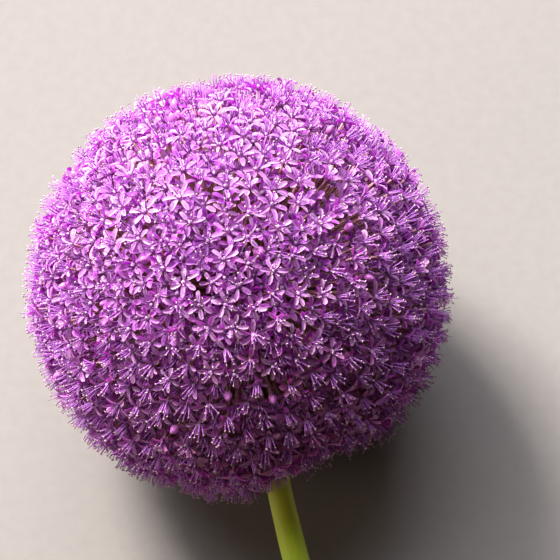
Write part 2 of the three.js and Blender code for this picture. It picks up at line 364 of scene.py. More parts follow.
# The brown mark: painted warm shade, strongest round its middle, over some real withering.
brown_shade_middle = ALONG_STEM + BROWN_SHADE_RIGHT * picture_right + BROWN_SHADE_BACK * picture_back
withered_and_shaded = near(brown_shade_middle, BROWN_SHADE_WIDTH) * draw.uniform(*BROWN_SHADE_SHARES, FLORETS)
print("The florets stand", round(plane.min() / MM), "to", round(plane.max() / MM), "mm from the middle")

# %% [markdown]
# A floret stands on three axes of its own, kept as a small matrix. Its parts are modelled round the
# origin, with the floret facing along +Z, and are then turned to these axes and moved to its base.
# A floret is deepest in colour when it has just opened, and fades as it ages, so each gets a number
# for how far it has faded, and one for how violet it is. The low florets' numbers are lower still,
# so they are deeper and darker than the high ones: painted shade in the gaps between them.

# %% Leans, sizes and colours
LEAN_SPREAD = 0.18  # sideways, beside a direction of length 1
SIZE_SPREAD = 0.09
LOW_SIZE = 1.1
PATCH_BUD_SIZE = 0.6
# The low florets' range lies below the high ones' and reaches past fresh: painted shade in the gaps.
HIGH_FADING, LOW_FADING_AND_SHADE = (0.25, 1.0), (-0.1, 0.3)
RISE_OF_FLORET = 9  # degrees

size = draw.normal(1.0, SIZE_SPREAD, FLORETS) * np.where(is_high, 1.0, LOW_SIZE)
size[patch_low] *= PATCH_BUD_SIZE
# Fading from age, and for the low florets painted shade as well.
fading_and_shade = np.where(is_high, draw.uniform(*HIGH_FADING, FLORETS), draw.uniform(*LOW_FADING_AND_SHADE, FLORETS))
violet = draw.random(FLORETS)
own_rise = draw.normal(0, RISE_OF_FLORET, FLORETS)
facing = directions + draw.normal(0, LEAN_SPREAD, directions.shape)
facing /= np.linalg.norm(facing, axis=1, keepdims=True)
sideways = np.cross(facing, draw.normal(0, 1, facing.shape))
sideways /= np.linalg.norm(sideways, axis=1, keepdims=True)
own_axes = np.stack([sideways, np.cross(facing, sideways), facing], axis=1)
bases = MIDDLE + directions * plane[:, None]
lean = np.degrees(np.arccos((facing * directions).sum(axis=1)))
print("The florets lean by", round(lean.mean(), 1), "degrees on average")

# %% [markdown]
# The globe is heavy enough to press its lowest florets flat. A simulation could do this, but one
# smooth formula is enough: above a few millimetres nothing changes, and below that the height is
# squeezed more and more, so that the lowest points just reach the surface.

# %% Pressed against the surface
PRESS_HEIGHT = 4.5 * MM
LOWEST = HEAD_HEIGHT - HEAD_REACH - 1.0 * MM


def pressed(points):
    """The points with their heights squeezed into the space above the surface."""
    depth = np.minimum(points[..., 2] - PRESS_HEIGHT, 0) / PRESS_HEIGHT
    deepest = 1 - math.exp((LOWEST - PRESS_HEIGHT) / PRESS_HEIGHT)
    squeezed = PRESS_HEIGHT * (1 - (1 - np.exp(depth)) / deepest)
    moved = points.copy()
    moved[..., 2] = np.where(depth < 0, np.maximum(squeezed, 0), points[..., 2])
    return moved


def turned(points, matrices):
    """Points, copies x ... x 3, each copy turned by its own matrix."""
    return np.einsum("c...i,cij->c...j", points, matrices)


def stand(points, florets):
    """Points made round the florets' own axes, stood in the globe and pressed."""
    spread = (len(florets),) + (1,) * (points.ndim - 2) + (3,)
    return pressed(turned(points, own_axes[florets]) + bases[florets].reshape(spread))


heights = np.array([[0.0, 0.0, h * MM] for h in (-6.4, 0.0, 3.0, 8.0)])
print("Heights of -6.4, 0, 3 and 8 mm become", (pressed(heights)[:, 2] / MM).round(2))

# %% [markdown]
# An allium tepal is a thin, narrow, channelled blade with a blunt tip. It rises from the floret's
# throat and bends back towards the tip. Its middle line is an arc: the slope falls steadily from
# base to tip, so reach and height have closed formulas. The outline is a formula too, narrow at
# the base and blunt at the tip. Each section has five points above and one below, and in the low
# florets, which are half hidden, three above and one below.

# %% A tepal's middle line and section
TEPAL_LENGTH = 4.5 * MM
TEPAL_WIDTH = 1.5 * MM
TEPAL_THICKNESS = 0.2 * MM
THROAT_RADIUS = 0.5 * MM
BASE_POWER, TIP_POWER = 0.9, 0.5  # a low power makes a blunt end
ROWS = np.array([0.0, 0.12, 0.4, 0.68, 0.9, 1.0])  # places along it, in shares of the length
FULL_SECTION = np.array([1.0, 0.5, 0.0, -0.5, -1.0, 0.0])  # points across, the last one below
PLAIN_SECTION = np.array([1.0, 0.0, -1.0, 0.0])


def middle_line(rise, bend, length):
    """Reach, height and slope along tepals that rise at one slope and bend back from it."""
    slopes = rise - bend * ROWS
    reach = THROAT_RADIUS + length * (np.sin(rise) - np.sin(slopes)) / bend
    height = length * (np.cos(slopes) - np.cos(rise)) / bend
    return reach, height, slopes


def outline():
    """The half width of a tepal along its rows, as a share of the greatest."""
    half_width = ROWS**BASE_POWER * (1 - ROWS) ** TIP_POWER
    return half_width / half_width.max()


print("A tepal's half width along its rows:", outline().round(2))

# %% [markdown]
# With these, the tepals of one whorl are made at once, three to a floret. Each has its own
# length, width, rise, bend and twist, and curves a little to one side. The edges are lifted, which
# makes the channel, and the underside's middle is a keel.

# %% The tepals of one whorl
TEPALS = 6
RISE, RISE_SPREAD = 36, 12  # degrees
BEND, BEND_SPREAD, LEAST_BEND = 46, 20, 8
HALF_OPEN_RISE = 30
LENGTH_SPREAD, WIDTH_SPREAD = 0.05, 0.07
TWIST_SPREAD, CURVE_SPREAD = 0.35, 0.09  # radians at the tip, and a share of the length
PLACE_SPREAD = 0.07  # radians round the floret
CHANNEL_LIFT = 0.45  # of the edges, in shares of the half width


def below(across):
    """1 for the point of a section that is below, 0 for the others."""
    return (np.arange(len(across)) == len(across) - 1).astype(float)


def axis_turns(angles):
    """Matrices that turn points round a floret's own axis."""
    cos, sin, zero, one = np.cos(angles), np.sin(angles), np.zeros_like(angles), np.ones_like(angles)
    rows = [[cos, sin, zero], [-sin, cos, zero], [zero, zero, one]]
    return np.moveaxis(np.array(rows), 2, 0)


def tepal_grid(group, whorl, across):
    """The grid of the tepals of one whorl in a group of florets, and the floret of each tepal."""
    florets = np.repeat(group, TEPALS // 2)
    flat, deep = (len(florets), 1), (len(florets), 1, 1)
    length = TEPAL_LENGTH * size[florets, None] * draw.normal(1.0, LENGTH_SPREAD, flat)
    width = TEPAL_WIDTH * size[florets, None] * draw.normal(1.0, WIDTH_SPREAD, flat)
    shut = own_rise[florets, None] + HALF_OPEN_RISE * half_open[florets, None]
    rise = np.radians(draw.normal(RISE, RISE_SPREAD, flat) + shut)
    bend = np.radians(np.maximum(draw.normal(BEND, BEND_SPREAD, flat), LEAST_BEND))
    reach, height, slopes = (part[:, :, None] for part in middle_line(rise, bend, length))

    half_width = 0.5 * width[:, :, None] * outline()[:, None]
    twist = draw.normal(0, TWIST_SPREAD, deep) * ROWS[:, None]
    curve = draw.normal(0, CURVE_SPREAD, deep) * length[:, :, None] * ROWS[:, None] ** 2
    side = half_width * across
    keel = TEPAL_THICKNESS * outline()[:, None] * below(across)
    lift = CHANNEL_LIFT * half_width * across**2 - keel + side * twist
    out = reach - lift * np.sin(slopes)
    up = height + lift * np.cos(slopes)
    grid = np.stack([out, side + curve, up], axis=-1)

    angles = TURN * (2 * np.tile(np.arange(TEPALS // 2), len(group)) + whorl) / TEPALS
    angles = angles + draw.normal(0, PLACE_SPREAD, len(florets))
    return stand(turned(grid, axis_turns(angles)), florets), florets


print("An open tepal rises at", RISE, "degrees and bends back by", BEND)

# %% [markdown]
# A petal is thin living tissue. Its cells are small domes, which give a soft pearly gloss, and they
# hold a clear coloured sap, so light that shines through comes out deeper in colour than light that
# is thrown back. That is why the lit tepals look pale lilac and the shaded ones glow magenta. The
# material mixes a glossy front, with the roughness of about a half that is usual for petals, with
# a translucent body. A painted texture could hold the pattern too, but the marks on the points say
# more exactly where it goes. The colour is palest at the throat, the edges and the tip, and a
# violet vein runs along the middle with fine streaks beside it. The pale tips are painted sheen,
# where the pearly gloss would catch the light, and the pale edges are partly the tepal's own paler
# margin and partly painted sheen. The low florets are deeper in colour and less pale, which paints
# shade between the high ones, and near the stem a red brown paints warm shade over some withering.

# %% Petal material
STREAK_SPACING = 0.25 * MM  # coarser than the real veins, so that they show
STREAK_LENGTH = 2.25 * MM
STREAK_RELIEF = 0.06 * MM
STREAK_FADING = 0.4  # how much more or less faded a streak is than the rest
STREAK_SHIFT = 90.0  # from one floret's pattern to another's
BLADE_COLOURS = (("#cd4ad0", "#bd50d5"), ("#f8caf0", "#eabef3"))  # fresh and faded, pink and violet
# The most of the pale edge, partly own paler margin and partly painted sheen, of the vein, and of the
# pale tip, which is painted sheen.
EDGE_AND_SHEEN_SHARE, VEIN_SHARE, TIP_SHEEN_SHARE = 0.55, 0.7, 0.3
THROAT_SHARES = (0.25, 0.95)  # in a fresh and in a faded floret
# The first share is the most of the brown mark near the stem: painted warm shade over some real
# withering.
BROWN_SHADE_SHARE, DEEP_SHARE, THROUGH_SHARE = 0.9, 0.6, 0.56


def petal_material():
    """Allium petal, of thin sap-filled tissue: pearly gloss, pale edges partly of painted sheen, pale
    tips of painted sheen, light shining through, and painted shade on the low florets and near the
    stem.
    """
    material, tree, surface = new_material("allium_petal")
    mark = {name: add(tree, "ShaderNodeAttribute", {}, attribute_name=name).outputs["Fac"]
            for name in ("along", "across", "below", "fading_and_shade", "violet", "withered_and_shaded")}
    scale = TEPAL_LENGTH / STREAK_LENGTH
    streaks_across = 0.5 * TEPAL_WIDTH / STREAK_SPACING / scale
    place_across = add(tree, "ShaderNodeMath", {0: mark["across"], 1: streaks_across},
                       operation="MULTIPLY")
    place_off = add(tree, "ShaderNodeMath", {0: mark["violet"], 1: STREAK_SHIFT},
                    operation="MULTIPLY")
    place = add(tree, "ShaderNodeCombineXYZ", {0: place_across.outputs[0], 1: mark["along"],
                2: place_off.outputs[0]})
    streak = add(tree, "ShaderNodeTexNoise", {"Vector": place.outputs[0], "Scale": scale,
                 "Detail": 2.0}).outputs["Fac"]

    fresh, faded = (
        add(tree, "ShaderNodeMix", {0: mark["violet"], MIX_FIRST: linear(pinkest),
            MIX_SECOND: linear(bluest)}, data_type="RGBA").outputs[MIX_COLOUR]
        for pinkest, bluest in BLADE_COLOURS)
    uneven = add(tree, "ShaderNodeMapRange", {"Value": streak, "From Min": 0.3, "From Max": 0.7,
                 "To Min": -STREAK_FADING, "To Max": STREAK_FADING})
    # How faded each bit of a tepal looks; in the low florets this also paints shade.
    fade_and_shade_share = add(tree, "ShaderNodeMath", {0: mark["fading_and_shade"], 1: uneven.outputs[0]},
                      operation="ADD")
    colour = add(tree, "ShaderNodeMix", {0: fade_and_shade_share.outputs[0], MIX_FIRST: fresh,
                 MIX_SECOND: faded}, data_type="RGBA").outputs[MIX_COLOUR]

    # The pale edge: partly the tepal's own paler margin, partly painted sheen; the low florets show
    # less of it.
    off_middle = add(tree, "ShaderNodeMath", {0: mark["across"], 1: streak}, operation="ADD")
    edge_and_sheen = add(tree, "ShaderNodeMapRange", {"Value": off_middle.outputs[0], "From Min": 0.7,
               "From Max": 1.3})
    edge_and_sheen_share = add(tree, "ShaderNodeMapRange", {"Value": mark["fading_and_shade"], "To Max": EDGE_AND_SHEEN_SHARE})
    edge_and_sheen = add(tree, "ShaderNodeMath", {0: edge_and_sheen.outputs[0], 1: edge_and_sheen_share.outputs[0]},
               operation="MULTIPLY")
    vein = add(tree, "ShaderNodeMapRange", {"Value": mark["across"], "From Min": 0.05,
               "From Max": 0.3, "To Min": VEIN_SHARE, "To Max": 0.0})
    throat = add(tree, "ShaderNodeMapRange", {"Value": mark["along"], "From Min": 0.05,
                 "From Max": 0.5, "To Min": 1.0, "To Max": 0.0})
    # Low florets get a smaller pale throat, as part of the painted shade between the high ones.
    throat_share = add(tree, "ShaderNodeMapRange", {"Value": mark["fading_and_shade"],
                       "To Min": THROAT_SHARES[0], "To Max": THROAT_SHARES[1]})
    throat = add(tree, "ShaderNodeMath", {0: throat.outputs[0], 1: throat_share.outputs[0]},
                 operation="MULTIPLY")
    # The pale tip: painted sheen, where the gloss would catch the light.
    tip_sheen = add(tree, "ShaderNodeMapRange", {"Value": mark["along"], "From Min": 0.7,
              "To Max": TIP_SHEEN_SHARE})
    # The brown mark near the stem: painted warm shade over some real withering.
    brown_shade = add(tree, "ShaderNodeMath", {0: mark["withered_and_shaded"], 1: BROWN_SHADE_SHARE},
                operation="MULTIPLY")

    # Layers: pale edge partly painted sheen, vein, throat, pale tip of painted sheen, underside, and
    # the brown mark of painted warm shade.
    layers = ((edge_and_sheen.outputs[0], "#f8daf4"), (vein.outputs[0], "#963caa"),
              (throat.outputs[0], "#fae0f6"), (tip_sheen.outputs[0], "#fce4f8"),
              (mark["below"], "#c03ecc"), (brown_shade.outputs[0], "#a85050"))
    for share, layer in layers:
        colour = add(tree, "ShaderNodeMix", {0: share, MIX_FIRST: colour,
                     MIX_SECOND: linear(layer)}, data_type="RGBA").outputs[MIX_COLOUR]
    deep = add(tree, "ShaderNodeMix", {0: DEEP_SHARE, MIX_FIRST: colour,
               MIX_SECOND: linear("#d846da")}, data_type="RGBA").outputs[MIX_COLOUR]

    relief = add(tree, "ShaderNodeBump", {"Height": streak, "Distance": STREAK_RELIEF})
    front = add(tree, "ShaderNodeBsdfPrincipled", {"Base Color": colour, "Roughness": 0.48,
                "Specular IOR Level": 0.8, "Specular Tint": linear("#f4d4f8"),
                "Normal": relief.outputs[0]})
    through = add(tree, "ShaderNodeBsdfTranslucent", {"Color": deep})
    both = add(tree, "ShaderNodeMixShader", {0: THROUGH_SHARE, 1: front.outputs[0],
               2: through.outputs[0]})
    tree.links.new(both.outputs[0], surface)
    return material


petal = petal_material()

# %% [markdown]
# The edges of a tepal are thin, so the shading must not run round them from the upper face to the
# lower one. Marking those edges sharp keeps the two faces apart, and each stays smooth in itself.

# %% The two whorls of tepals
def sharpen(piece, per_copy, sides, sharp_sides):
    """Marks the edges that run along the given sides of each tube as sharp."""
    mesh = piece.data
    ends = np.empty(2 * len(mesh.edges), dtype=np.int32)
    mesh.edges.foreach_get("vertices", ends)
    local = ends.reshape(-1, 2) % per_copy
    is_end = (local == 0) | (local == per_copy - 1)
    side = (local - 1) % sides
    on_rim = (np.isin(side, sharp_sides) | is_end).all(axis=1)
    along_tube = (side[:, 0] == side[:, 1]) | is_end.any(axis=1)
    sharp = on_rim & along_tube
    mesh.attributes.new("sharp_edge", "BOOLEAN", "EDGE").data.foreach_set("value", sharp)


open_high = np.flatnonzero(is_open & is_high)
open_low = np.flatnonzero(is_open & ~is_high)
sets = (("high_outer_tepals", open_high, 0, FULL_SECTION),
        ("high_inner_tepals", open_high, 1, FULL_SECTION),
        ("low_outer_tepals", open_low, 0, PLAIN_SECTION),
        ("low_inner_tepals", open_low, 1, PLAIN_SECTION))
for name, group, whorl, across in sets:
    grid, florets = tepal_grid(group, whorl, across)
    marks = {"along": ROWS[:, None], "across": np.abs(across), "below": below(across)}
    for label, values in (("fading_and_shade", fading_and_shade), ("violet", violet), ("withered_and_shaded", withered_and_shaded)):
        marks[label] = values[florets, None, None]
    piece = tubes(name, grid, petal, marks)
    edges = np.flatnonzero(np.abs(across) == 1)
    sharpen(piece, len(piece.data.vertices) // len(florets), len(across), edges)
    stands_for(piece, "flower_head")

# %% [markdown]
# The floret's other parts are soft plant tissue, without the petals' pale edges. One recipe does
# for them all: the colour changes evenly from one end of the part to the other, some florets are
# lighter than others, and a faint mottle in colour and height stands for the cells. The low florets'
# parts and those under the brown mark near the stem are darker: painted shade. Tight round
# parts are smoother than stalks and catch the light, so each gets a roughness of its own.

# %% Soft plant tissue
MOTTLE_SIZE = 0.6 * MM  # groups of cells: the single cells are too fine to show
MOTTLE_RELIEF = 0.04 * MM
MOTTLE_VALUES = (0.82, 1.18)
DARKEST, LIGHTEST = 0.62, 1.15
# How much the brown mark near the stem darkens the small parts: painted shade.
WITHER_AND_SHADE_DARKENING = 0.9


def tissue_material(name, start_hex, end_hex, roughness):
    """Soft plant tissue that changes colour evenly from its start to its end, with a faint mottle."""
    material, tree, surface = new_material(name)
    along, shaded_lightness = (
        add(tree, "ShaderNodeAttribute", {}, attribute_name=label).outputs["Fac"]
        for label in ("along", "shaded_lightness"))
    colour = add(tree, "ShaderNodeMix", {0: along, MIX_FIRST: linear(start_hex),
                 MIX_SECOND: linear(end_hex)}, data_type="RGBA").outputs[MIX_COLOUR]
    place = add(tree, "ShaderNodeNewGeometry", {}).outputs["Position"]
    mottle = add(tree, "ShaderNodeTexNoise", {"Vector": place, "Scale": 1 / MOTTLE_SIZE,
                 "Detail": 2.0}).outputs["Fac"]
    uneven = add(tree, "ShaderNodeMapRange", {"Value": mottle, "From Min": 0.3, "From Max": 0.7,
                 "To Min": MOTTLE_VALUES[0], "To Max": MOTTLE_VALUES[1]})
    # The lightness mark: random fading, with painted shade on the low florets and near the stem.
    value = add(tree, "ShaderNodeMapRange", {"Value": shaded_lightness, "To Min": DARKEST,
                "To Max": LIGHTEST})
    value = add(tree, "ShaderNodeMath", {0: value.outputs[0], 1: uneven.outputs[0]},
                operation="MULTIPLY")
    mottled = add(tree, "ShaderNodeHueSaturation", {"Value": value.outputs[0], "Color": colour})
    relief = add(tree, "ShaderNodeBump", {"Height": mottle, "Distance": MOTTLE_RELIEF})
    front = add(tree, "ShaderNodeBsdfPrincipled", {"Base Color": mottled.outputs[0],
                "Roughness": roughness, "Specular IOR Level": 0.4, "Normal": relief.outputs[0]})
    tree.links.new(front.outputs[0], surface)
    return material


def even_marks(grid, florets):
    """Marks for a grid whose rings are evenly spaced. The parts of the low florets and of those under
    the brown mark near the stem are darker: painted shade.
    """
    along = np.linspace(0, 1, grid.shape[1])
    shaded_lightness = fading_and_shade * (1 - WITHER_AND_SHADE_DARKENING * withered_and_shaded)
    return {"along": along[:, None], "shaded_lightness": shaded_lightness[florets, None, None]}


print("The tissue's mottle is", round(MOTTLE_SIZE / MM, 2), "mm across")

# %% [markdown]
# Six stamens stand in each floret, one before each tepal, and reach past it. Their stalks, the
# filaments, are lilac, straight and stiff, and taper from base to tip. At the globe's rim they stand
# out like the pile of velvet. Blender's hair curves could draw them, but as closed tubes with three
# sides they are pressed and coloured like every other part. They are a little thicker than life, so
# that they show.

# %% Filaments
FILAMENT_RADII = np.array([0.23, 0.14]) * MM  # at the base and near the tip
FILAMENT_LENGTH = 6.2 * MM
LOW_FILAMENT_LENGTH = 5.0 * MM
LENGTH_SHARES = (0.84, 1.0)  # the shortest and the longest, in shares of the length
STAMEN_FOOT, STAMEN_START = 0.75 * MM, 0.2 * MM  # from the floret's axis, and above its base
TIPS_OUT = (0.9, 2.9)  # how far the tips are from the axis, in millimetres
HALF_OPEN_TIPS = 0.5  # how far a half-open floret draws its stamens in
STAMEN_PLACE_SPREAD = 0.15  # radians round the floret
RIM_MARGIN = 0.4 * MM
HAIR_SIDES = 3
ASKEW = np.array([0.31, 0.47, 0.83])  # added to a direction, gives another one to cross it with


def round_rings(centres, radii, sides):
    """Rings of the given radii round curved lines: copies x rings x 3 and copies x rings."""
    along = np.gradient(centres, axis=1)
    along /= np.linalg.norm(along, axis=2, keepdims=True)
    first = np.cross(along, along[:, :1] + ASKEW)
    first /= np.linalg.norm(first, axis=2, keepdims=True)
    second = np.cross(along, first)
    angle = TURN * np.arange(sides)[:, None] / sides
    spokes = np.cos(angle) * first[:, :, None] + np.sin(angle) * second[:, :, None]
    return centres[:, :, None] + radii[:, :, None, None] * spokes


opened = np.flatnonzero(is_open)
florets = np.repeat(opened, TEPALS)
count = len(florets)
turn = TURN * np.tile(np.arange(TEPALS), len(opened)) / TEPALS
turn = turn + draw.normal(0, STAMEN_PLACE_SPREAD, count)
rise_most = np.where(is_high[florets], FILAMENT_LENGTH, LOW_FILAMENT_LENGTH)
rise_most = np.minimum(HEAD_REACH - RIM_MARGIN - plane[florets], rise_most)
rise = rise_most * draw.uniform(*LENGTH_SHARES, count)
tips_out = draw.uniform(*TIPS_OUT, count) * MM * (1 - HALF_OPEN_TIPS * half_open[florets])
share = np.array([0.0, 1.0])
out = STAMEN_FOOT + (tips_out[:, None] - STAMEN_FOOT) * share
lines = np.stack([out * np.cos(turn)[:, None], out * np.sin(turn)[:, None],
                  STAMEN_START + rise[:, None] * share], axis=2)
lines = stand(lines, florets)
radii = np.tile(FILAMENT_RADII, (count, 1))
filament = tissue_material("filament_tissue", "#cc7cd6", "#9a58b4", 0.5)
grid = capped(round_rings(lines, radii, HAIR_SIDES), lines[:, 0], lines[:, -1])
stands_for(tubes("filaments", grid, filament, even_marks(grid, florets)), "flower_head")

# %% [markdown]
# An anther is the small pod of pollen that lies balanced across the tip of each filament. From the
# camera it is about three pixels long, and it is the pale bead that rims the globe in the
# photograph. At that size the pod's two halves can't be told apart, so a short barrel between two
# points is enough. The low florets' anthers are hidden among the tepals and left out.

# %% Anthers
ANTHER_HALF = 0.5 * MM
ANTHER_RADIUS = 0.23 * MM
ANTHER_BARREL = 0.55  # of the half, where the full radius ends

shown = is_high[florets]
tips, count, florets = lines[shown, -1], shown.sum(), florets[shown]
lying = np.cross(tips - lines[shown, -2], draw.normal(0, 1, tips.shape))
lying *= ANTHER_HALF / np.linalg.norm(lying, axis=1, keepdims=True)
barrel_ends = np.array([-ANTHER_BARREL, ANTHER_BARREL])[:, None]
barrel = pressed(tips[:, None] + lying[:, None] * barrel_ends)
rings = round_rings(barrel, np.full((count, 2), ANTHER_RADIUS), HAIR_SIDES)
grid = capped(rings, pressed(tips - lying), pressed(tips + lying))
anther = tissue_material("anther_tissue", "#ccaca4", "#b48ea6", 0.3)
stands_for(tubes("anthers", grid, anther, even_marks(grid, florets)), "flower_head")

# %% [markdown]
# In the middle of each open floret sits the ovary, a small mauve ball with three lobes. It could be
# sculpted from a sphere. The same rings as for a tube make it with less work: their radii swell and
# shrink, with a wave round each ring for the lobes.

# %% Ovaries
OVARY_RADIUS = 0.8 * MM
OVARY_HEIGHT = 1.8 * MM
OVARY_FULLNESS = 0.7  # the lower, the fuller
OVARY_SIDES, OVARY_RINGS = 6, 3
LOBES, LOBE_DEPTH = 3, 0.1


def swollen(radii, waves, height, share, angle):
    """Rings whose radii change along a part, share by share, with a wave round each ring."""
    radius = radii[:, None] * waves
    up = height * share[:, None] * np.ones(len(angle))
    return np.stack([radius * np.cos(angle), radius * np.sin(angle), up], axis=2)


angle = TURN * np.arange(OVARY_SIDES) / OVARY_SIDES
share = np.arange(OVARY_RINGS + 2) / (OVARY_RINGS + 1)
radii = OVARY_RADIUS * np.sin(math.pi * share) ** OVARY_FULLNESS
one = swollen(radii, 1 + LOBE_DEPTH * np.cos(LOBES * angle), OVARY_HEIGHT, share, angle)
grid = stand(one * size[opened, None, None, None], opened)
ovary = tissue_material("ovary_tissue", "#94708e", "#cc9ccc", 0.35)
stands_for(tubes("ovaries", grid, ovary, even_marks(grid, opened)), "flower_head")

# %% [markdown]
# A single style rises from the ovary, thinner than a filament and of the same tissue. It is made in
# the same way, from a line with two rings. It leans a little at random, because it is soft. The low
# florets' styles are hidden and left out.

# %% Styles
STYLE_LENGTH = 3.6 * MM
STYLE_RADIUS = 0.13 * MM
STYLE_WANDER = 0.4 * MM
STYLE_START = 0.9  # of the ovary's height

count = len(open_high)
share = np.linspace(0, 1, 2)
wander = draw.normal(0, STYLE_WANDER, (count, 2, 1)) * share
height = np.tile(OVARY_HEIGHT * STYLE_START + STYLE_LENGTH * share, (count, 1))
lines = stand(np.stack([wander[:, 0], wander[:, 1], height], axis=2), open_high)
radii = np.full((count, 2), STYLE_RADIUS)
grid = capped(round_rings(lines, radii, HAIR_SIDES), lines[:, 0], lines[:, -1])
stands_for(tubes("styles", grid, filament, even_marks(grid, open_high)), "flower_head")

# %% [markdown]
# The buds are plump eggs, with six shallow ribs where the closed tepals meet. A bud could be made
# of six closed tepals, but only its outside shows. So the ovary's rings make it too, with more
# sides, and with a power that moves the thickest part below the middle, as in an egg.

# %% Buds
BUD_LENGTH = 4.8 * MM
BUD_RADIUS = 1.45 * MM
BUD_SIDES, BUD_RINGS = 12, 5
BUD_LEAN, BUD_FULLNESS = 0.85, 0.75  # how low the thickest part is, and how full
BUD_RIBS = 0.08  # of the radius
BUD_SIZES = (0.75, 1.1)

florets = np.flatnonzero(is_bud)
angle = TURN * np.arange(BUD_SIDES) / BUD_SIDES
share = np.arange(BUD_RINGS + 2) / (BUD_RINGS + 1)
radii = BUD_RADIUS * np.sin(math.pi * share**BUD_LEAN) ** BUD_FULLNESS
one = swollen(radii, 1 + BUD_RIBS * np.cos(TEPALS * angle), BUD_LENGTH, share, angle)
grown = size[florets] * draw.uniform(*BUD_SIZES, len(florets))
grid = stand(one * grown[:, None, None, None], florets)
bud = tissue_material("bud_tissue", "#b0609c", "#cf72cc", 0.4)
stands_for(tubes("buds", grid, bud, even_marks(grid, florets)), "flower_head")

# %% [markdown]
# Every floret's own stalk comes from the knob at the top of the stem. It is nearly straight and
# widens under the floret. Its olive green turns to a dusky pink towards the light. From the camera
# the stalks are seen only in the gaps and patches, where they give the globe its depth. A plain
# dark ball inside would be cheaper, but it would close those gaps, so every stalk is made, as a
# thin tube that joins knob and floret and bows a little at random.

# %% Flower stalks
KNOB_RADIUS = 7 * MM
ROOT_DEPTH = 0.9  # how far out a stalk starts, in shares of the knob's radius
STALK_RADIUS = 0.32 * MM
STALK_WIDENING = np.array([0.9, 0.95, 1.05, 1.6])
STALK_BOW = 0.9 * MM

share = np.linspace(0, 1, len(STALK_WIDENING))
roots = MIDDLE + directions * KNOB_RADIUS * ROOT_DEPTH
bow = draw.normal(0, STALK_BOW, directions.shape)
lines = roots[:, None] + (bases - roots)[:, None] * share[:, None]
lines = pressed(lines + bow[:, None] * np.sin(math.pi * share)[:, None])
radii = np.tile(STALK_RADIUS * STALK_WIDENING, (FLORETS, 1))
grid = capped(round_rings(lines, radii, HAIR_SIDES), lines[:, 0], lines[:, -1])
stalk = tissue_material("stalk_skin", "#948c4c", "#b06e88", 0.5)
marks = even_marks(grid, np.arange(FLORETS)) | {"shaded_lightness": 1.0}
stands_for(tubes("flower_stalks", grid, stalk, marks), "flower_head")

# %% [markdown]
# The stem is smooth and firm, and thickens towards its foot. A bevelled curve would make it with
# fewer lines, but here the knob, the taper and the cut face are all just radii in one list. The
# rings follow the CAD stem's own line, straight at first and then bent a little to one side. They
# close in to the knob at the top and to a flat cut face at the foot.

# %% The stem's rings
STEM_TOP_RADIUS = 3.1 * MM
STEM_BEND = 6 * MM
BEND_START = 0.35
STEM_SIDES, STEM_RINGS, KNOB_RINGS = 40, 44, 7
KNOB_END = 128  # degrees round the knob, where the neck begins
NECK = 1.5 * KNOB_RADIUS
CUT_FACE = np.array([0.9, 0.6, 0.3, 0.0])  # its rings' radii, in shares of the foot's
RIBS = ((9, 0.006, 0.0), (14, 0.004, 1.0))  # number, height in shares of the radius, and turn


def stem_profile():
    """Distances from the globe's middle along the stem and the stem's radius at each."""
    angles = np.radians(np.linspace(0, KNOB_END, KNOB_RINGS))
    down = np.linspace(NECK, STEM_LENGTH, STEM_RINGS)
    taper = STEM_TOP_RADIUS + (STEM_FOOT_RADIUS - STEM_TOP_RADIUS) * down / STEM_LENGTH
    face = np.full(len(CUT_FACE), STEM_LENGTH)
    distances = np.concatenate([-KNOB_RADIUS * np.cos(angles), down, face])
    radii = np.concatenate([KNOB_RADIUS * np.sin(angles), taper, STEM_FOOT_RADIUS * CUT_FACE])
    return distances, radii


def stem_grid(distances, radii):
    """The stem's rings, with faint ribs along them, as a grid of one copy."""
    angle = TURN * np.arange(STEM_SIDES)[:, None] / STEM_SIDES
    ribs = 1 + sum(height * np.cos(number * angle + turn) for number, height, turn in RIBS)
    upward = np.cross(ALONG_STEM, level_right)
    spokes = ribs * (np.cos(angle) * level_right + np.sin(angle) * upward)
    bent = np.maximum(distances / STEM_LENGTH - BEND_START, 0) / (1 - BEND_START)
    centres = MIDDLE + distances[:, None] * ALONG_STEM + (STEM_BEND * bent**2)[:, None] * level_right
    return (centres[:, None] + radii[:, None, None] * spokes)[None]


distances, radii = stem_profile()
print("The stem's radius under the knob is", round(radii[KNOB_RINGS] / MM, 2), "mm")

# %% [markdown]
# An allium stem has a smooth green skin under a thin bloom of wax. Up close, fine lighter streaks
# run along it. It is browner near the globe, and a duller grey green towards the foot, where the
# bloom is thicker. The bloom scatters light at its surface, so the gloss is broad and weak. The cut
# face shows the wet pale flesh.

# %% Stem material
SKIN_STREAK_WIDTH = 0.9 * MM
SKIN_STREAK_LENGTH = 26 * MM
SKIN_STREAK_RELIEF = 0.05 * MM
GLOBE_BROWN, FOOT_GREY = 0.6, 0.75  # the most that shows


